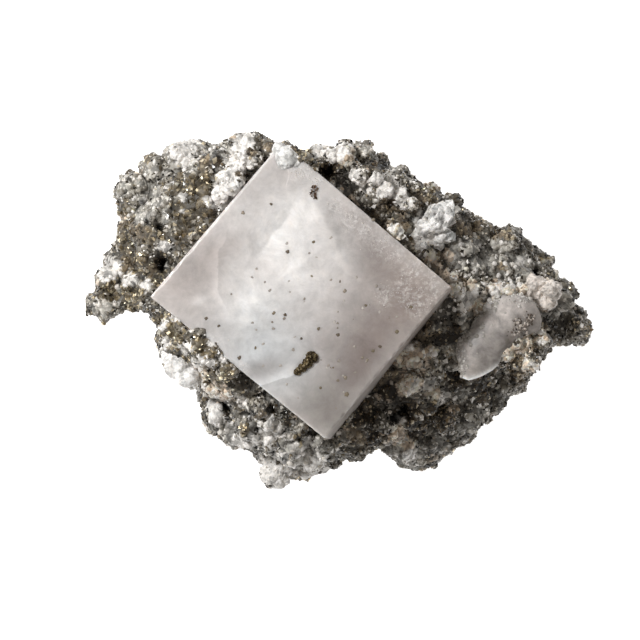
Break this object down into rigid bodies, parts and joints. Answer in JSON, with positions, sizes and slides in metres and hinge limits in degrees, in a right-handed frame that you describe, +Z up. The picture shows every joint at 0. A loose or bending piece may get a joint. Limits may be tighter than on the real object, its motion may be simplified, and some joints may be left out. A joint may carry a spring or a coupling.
{
  "type": "fluorite cube specimen",
  "caption": "Loose mineral specimen: a milky fluorite cube set face up in a lump of quartz and pyrite rock with calcite, resting on its flat underside.",
  "frame": {"origin": "middle of the specimen's box, on the surface that it rests on", "axes": "+Z up, out of the fluorite cube's upper face; +X towards the specimen's right end, along its length, as it is seen from above; +Y towards the cube's far corner"},
  "size_m": [0.1019, 0.0719, 0.0365],
  "materials": {
    "matrix_rock": "rough druse of grey quartz grains with pyrite",
    "milky_fluorite": "smooth, milky and slightly translucent, with a pale mauve tint",
    "grey_crystal": "frosted, translucent grey",
    "white_calcite": "white, satin, finely crystalline",
    "pink_calcite": "pinkish white, satin, botryoidal",
    "pyrite": "tarnished metallic brass-yellow crystals"
  },
  "bodies": {
    "root": {"matrix": "matrix_rock", "fluorite_cube": "milky_fluorite", "side_crystal": "grey_crystal", "corner_calcite": "white_calcite", "calcite_mass": "white_calcite", "pink_calcite": "pink_calcite", "rim_calcite": "white_calcite", "pyrite_cluster": "pyrite", "pyrite_spot": "pyrite"}
  },
  "joints": []
}
